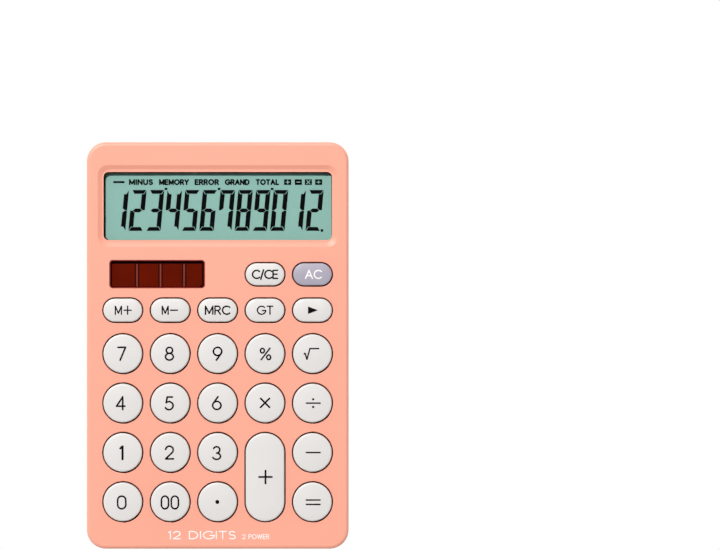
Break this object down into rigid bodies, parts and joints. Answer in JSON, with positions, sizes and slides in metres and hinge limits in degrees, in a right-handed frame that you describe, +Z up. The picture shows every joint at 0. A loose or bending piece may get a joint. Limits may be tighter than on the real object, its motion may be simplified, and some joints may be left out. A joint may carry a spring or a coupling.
{
  "type": "desk calculator",
  "caption": "Wedge-shaped desk calculator with a wide segment display, a solar cell, round and pill-shaped keys, and a hinged battery door on the underside.",
  "frame": {"origin": "on the desk, under the middle of the case", "axes": "+X to the user's right, +Y towards the display end, +Z up"},
  "size_m": [0.103, 0.1602, 0.03],
  "materials": {
    "front_case_plastic": "fine satin moulded plastic, pale coral",
    "rear_case_plastic": "fine spark-eroded moulded plastic, pale coral",
    "key_plastic": "smooth satin white moulded plastic",
    "clear_key_plastic": "smooth satin grey-lilac moulded plastic",
    "clear_window": "clear polished acrylic",
    "lcd_glass": "liquid crystal cell glass with a grey-green tint",
    "lcd_reflector": "grey-green diffuse reflector film",
    "gasket_foam": "black closed-cell foam",
    "holder_plastic": "dark moulded plastic",
    "zebra_rubber": "layered conductive silicone",
    "solar_glass": "dark red-brown amorphous cells behind glass",
    "red_wire": "red insulated wire",
    "black_wire": "black insulated wire",
    "keypad_silicone": "translucent grey silicone",
    "carbon_rubber": "black conductive rubber",
    "board_laminate": "tan paper laminate with carbon tracks",
    "chip_resin": "black potting resin",
    "capacitor_sleeve": "dark blue sleeve",
    "diode_glass": "small amber diode",
    "resistor_ceramic": "black chip resistor",
    "dark_screw_steel": "dark zinc-plated steel",
    "screw_steel": "zinc-plated steel",
    "battery_jacket": "plain printed foil jacket over a steel can",
    "nickel_contact": "nickel-plated spring steel",
    "foot_rubber": "matt black rubber"
  },
  "bodies": {
    "root": {"front_cover": "front_case_plastic", "rear_cover": "rear_case_plastic", "display_window": "clear_window", "display_gasket": "gasket_foam", "lcd_front_glass": "lcd_glass", "lcd_rear_glass": "lcd_glass", "lcd_reflector": "lcd_reflector", "lcd_holder": "holder_plastic", "zebra_strip": "zebra_rubber", "solar_cell": "solar_glass", "solar_pad": "gasket_foam", "solar_wire_red": "red_wire", "solar_wire_black": "black_wire", "battery_wire_red": "red_wire", "battery_wire_black": "black_wire", "rubber_keypad": "keypad_silicone", "contact_pills": "carbon_rubber", "main_board": "board_laminate", "chip_cover": "chip_resin", "board_capacitor": "capacitor_sleeve", "board_diode": "diode_glass", "board_resistors": "resistor_ceramic", "case_screws": "dark_screw_steel", "board_screws": "screw_steel", "battery": "battery_jacket", "battery_contacts": "nickel_contact", "battery_spring": "nickel_contact", "foot_front_left": "foot_rubber", "foot_front_right": "foot_rubber", "foot_rear_left": "foot_rubber", "foot_rear_right": "foot_rubber"},
    "key_clear_entry": {"key_clear_entry": "key_plastic"},
    "key_all_clear": {"key_all_clear": "clear_key_plastic"},
    "key_memory_plus": {"key_memory_plus": "key_plastic"},
    "key_memory_minus": {"key_memory_minus": "key_plastic"},
    "key_memory_recall": {"key_memory_recall": "key_plastic"},
    "key_grand_total": {"key_grand_total": "key_plastic"},
    "key_backspace": {"key_backspace": "key_plastic"},
    "key_plus": {"key_plus": "key_plastic"},
    "key_7": {"key_7": "key_plastic"},
    "key_8": {"key_8": "key_plastic"},
    "key_9": {"key_9": "key_plastic"},
    "key_percent": {"key_percent": "key_plastic"},
    "key_root": {"key_root": "key_plastic"},
    "key_4": {"key_4": "key_plastic"},
    "key_5": {"key_5": "key_plastic"},
    "key_6": {"key_6": "key_plastic"},
    "key_times": {"key_times": "key_plastic"},
    "key_divide": {"key_divide": "key_plastic"},
    "key_1": {"key_1": "key_plastic"},
    "key_2": {"key_2": "key_plastic"},
    "key_3": {"key_3": "key_plastic"},
    "key_minus": {"key_minus": "key_plastic"},
    "key_0": {"key_0": "key_plastic"},
    "key_00": {"key_00": "key_plastic"},
    "key_point": {"key_point": "key_plastic"},
    "key_equals": {"key_equals": "key_plastic"},
    "battery_door": {"battery_door": "rear_case_plastic"},
    "battery_door_latch": {"battery_door_latch": "rear_case_plastic"}
  },
  "joints": [
    {"name": "key_clear_entry_press", "type": "slide", "parent": "root", "child": "key_clear_entry", "axis": [0, 0.0872, -0.9962], "range_m": [0, 0.0012], "stiffness_N_per_m": 300, "deforming": ["rubber_keypad", "contact_pills"]},
    {"name": "key_all_clear_press", "type": "slide", "parent": "root", "child": "key_all_clear", "axis": [0, 0.0872, -0.9962], "range_m": [0, 0.0012], "stiffness_N_per_m": 300, "deforming": ["rubber_keypad", "contact_pills"]},
    {"name": "key_memory_plus_press", "type": "slide", "parent": "root", "child": "key_memory_plus", "axis": [0, 0.0872, -0.9962], "range_m": [0, 0.0012], "stiffness_N_per_m": 300, "deforming": ["rubber_keypad", "contact_pills"]},
    {"name": "key_memory_minus_press", "type": "slide", "parent": "root", "child": "key_memory_minus", "axis": [0, 0.0872, -0.9962], "range_m": [0, 0.0012], "stiffness_N_per_m": 300, "deforming": ["rubber_keypad", "contact_pills"]},
    {"name": "key_memory_recall_press", "type": "slide", "parent": "root", "child": "key_memory_recall", "axis": [0, 0.0872, -0.9962], "range_m": [0, 0.0012], "stiffness_N_per_m": 300, "deforming": ["rubber_keypad", "contact_pills"]},
    {"name": "key_grand_total_press", "type": "slide", "parent": "root", "child": "key_grand_total", "axis": [0, 0.0872, -0.9962], "range_m": [0, 0.0012], "stiffness_N_per_m": 300, "deforming": ["rubber_keypad", "contact_pills"]},
    {"name": "key_backspace_press", "type": "slide", "parent": "root", "child": "key_backspace", "axis": [0, 0.0872, -0.9962], "range_m": [0, 0.0012], "stiffness_N_per_m": 300, "deforming": ["rubber_keypad", "contact_pills"]},
    {"name": "key_plus_press", "type": "slide", "parent": "root", "child": "key_plus", "axis": [0, 0.0872, -0.9962], "range_m": [0, 0.0012], "stiffness_N_per_m": 300, "deforming": ["rubber_keypad", "contact_pills"]},
    {"name": "key_7_press", "type": "slide", "parent": "root", "child": "key_7", "axis": [0, 0.0872, -0.9962], "range_m": [0, 0.0012], "stiffness_N_per_m": 300, "deforming": ["rubber_keypad", "contact_pills"]},
    {"name": "key_8_press", "type": "slide", "parent": "root", "child": "key_8", "axis": [0, 0.0872, -0.9962], "range_m": [0, 0.0012], "stiffness_N_per_m": 300, "deforming": ["rubber_keypad", "contact_pills"]},
    {"name": "key_9_press", "type": "slide", "parent": "root", "child": "key_9", "axis": [0, 0.0872, -0.9962], "range_m": [0, 0.0012], "stiffness_N_per_m": 300, "deforming": ["rubber_keypad", "contact_pills"]},
    {"name": "key_percent_press", "type": "slide", "parent": "root", "child": "key_percent", "axis": [0, 0.0872, -0.9962], "range_m": [0, 0.0012], "stiffness_N_per_m": 300, "deforming": ["rubber_keypad", "contact_pills"]},
    {"name": "key_root_press", "type": "slide", "parent": "root", "child": "key_root", "axis": [0, 0.0872, -0.9962], "range_m": [0, 0.0012], "stiffness_N_per_m": 300, "deforming": ["rubber_keypad", "contact_pills"]},
    {"name": "key_4_press", "type": "slide", "parent": "root", "child": "key_4", "axis": [0, 0.0872, -0.9962], "range_m": [0, 0.0012], "stiffness_N_per_m": 300, "deforming": ["rubber_keypad", "contact_pills"]},
    {"name": "key_5_press", "type": "slide", "parent": "root", "child": "key_5", "axis": [0, 0.0872, -0.9962], "range_m": [0, 0.0012], "stiffness_N_per_m": 300, "deforming": ["rubber_keypad", "contact_pills"]},
    {"name": "key_6_press", "type": "slide", "parent": "root", "child": "key_6", "axis": [0, 0.0872, -0.9962], "range_m": [0, 0.0012], "stiffness_N_per_m": 300, "deforming": ["rubber_keypad", "contact_pills"]},
    {"name": "key_times_press", "type": "slide", "parent": "root", "child": "key_times", "axis": [0, 0.0872, -0.9962], "range_m": [0, 0.0012], "stiffness_N_per_m": 300, "deforming": ["rubber_keypad", "contact_pills"]},
    {"name": "key_divide_press", "type": "slide", "parent": "root", "child": "key_divide", "axis": [0, 0.0872, -0.9962], "range_m": [0, 0.0012], "stiffness_N_per_m": 300, "deforming": ["rubber_keypad", "contact_pills"]},
    {"name": "key_1_press", "type": "slide", "parent": "root", "child": "key_1", "axis": [0, 0.0872, -0.9962], "range_m": [0, 0.0012], "stiffness_N_per_m": 300, "deforming": ["rubber_keypad", "contact_pills"]},
    {"name": "key_2_press", "type": "slide", "parent": "root", "child": "key_2", "axis": [0, 0.0872, -0.9962], "range_m": [0, 0.0012], "stiffness_N_per_m": 300, "deforming": ["rubber_keypad", "contact_pills"]},
    {"name": "key_3_press", "type": "slide", "parent": "root", "child": "key_3", "axis": [0, 0.0872, -0.9962], "range_m": [0, 0.0012], "stiffness_N_per_m": 300, "deforming": ["rubber_keypad", "contact_pills"]},
    {"name": "key_minus_press", "type": "slide", "parent": "root", "child": "key_minus", "axis": [0, 0.0872, -0.9962], "range_m": [0, 0.0012], "stiffness_N_per_m": 300, "deforming": ["rubber_keypad", "contact_pills"]},
    {"name": "key_0_press", "type": "slide", "parent": "root", "child": "key_0", "axis": [0, 0.0872, -0.9962], "range_m": [0, 0.0012], "stiffness_N_per_m": 300, "deforming": ["rubber_keypad", "contact_pills"]},
    {"name": "key_00_press", "type": "slide", "parent": "root", "child": "key_00", "axis": [0, 0.0872, -0.9962], "range_m": [0, 0.0012], "stiffness_N_per_m": 300, "deforming": ["rubber_keypad", "contact_pills"]},
    {"name": "key_point_press", "type": "slide", "parent": "root", "child": "key_point", "axis": [0, 0.0872, -0.9962], "range_m": [0, 0.0012], "stiffness_N_per_m": 300, "deforming": ["rubber_keypad", "contact_pills"]},
    {"name": "key_equals_press", "type": "slide", "parent": "root", "child": "key_equals", "axis": [0, 0.0872, -0.9962], "range_m": [0, 0.0012], "stiffness_N_per_m": 300, "deforming": ["rubber_keypad", "contact_pills"]},
    {"name": "battery_door_hinge", "type": "hinge", "parent": "root", "child": "battery_door", "pos_m": [0, 0.0222, 0.0016], "axis": [1, 0, 0], "range_deg": [0, 75]},
    {"name": "battery_door_latch_flex", "type": "hinge", "parent": "battery_door", "child": "battery_door_latch", "pos_m": [0, -0.00375, 0.0022], "axis": [-1, 0, 0], "range_deg": [0, 6], "stiffness_Nm_per_rad": 0.05}
  ]
}
